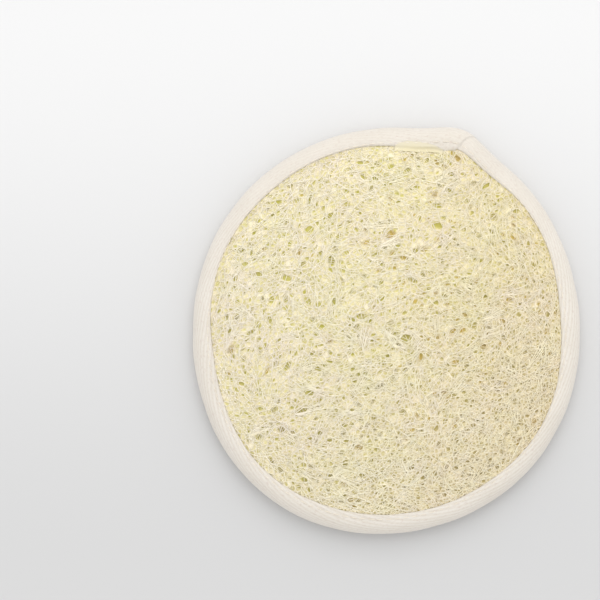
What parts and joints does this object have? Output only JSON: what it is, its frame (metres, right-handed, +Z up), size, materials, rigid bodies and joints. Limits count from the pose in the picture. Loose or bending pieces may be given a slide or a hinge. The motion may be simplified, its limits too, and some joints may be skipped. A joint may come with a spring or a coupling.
{
  "type": "loofah scrub pad",
  "caption": "Oval bath scrub pad: a domed natural loofah face, a terry cloth back, a tape-bound rim and a flat hand strap across the dished back.",
  "frame": {"origin": "under the middle of the pad, on the plane that the binding's underside rests on", "axes": "+Z up through the loofah face; +X along the hand strap; +Y across the strap, towards the lapped end of the binding tape"},
  "size_m": [0.1337, 0.1405, 0.0213],
  "materials": {
    "loofah": "dry plant fibre net, matte with a slight sheen",
    "terry": "looped cotton pile, matte",
    "tape": "herringbone twill cotton, matte",
    "thread": "spun cotton thread, matte"
  },
  "bodies": {
    "root": {"loofah_face": "loofah", "terry_back": "terry", "edge_binding": "tape", "hand_strap": "tape", "front_stitching": "thread", "back_stitching": "thread"}
  },
  "joints": []
}
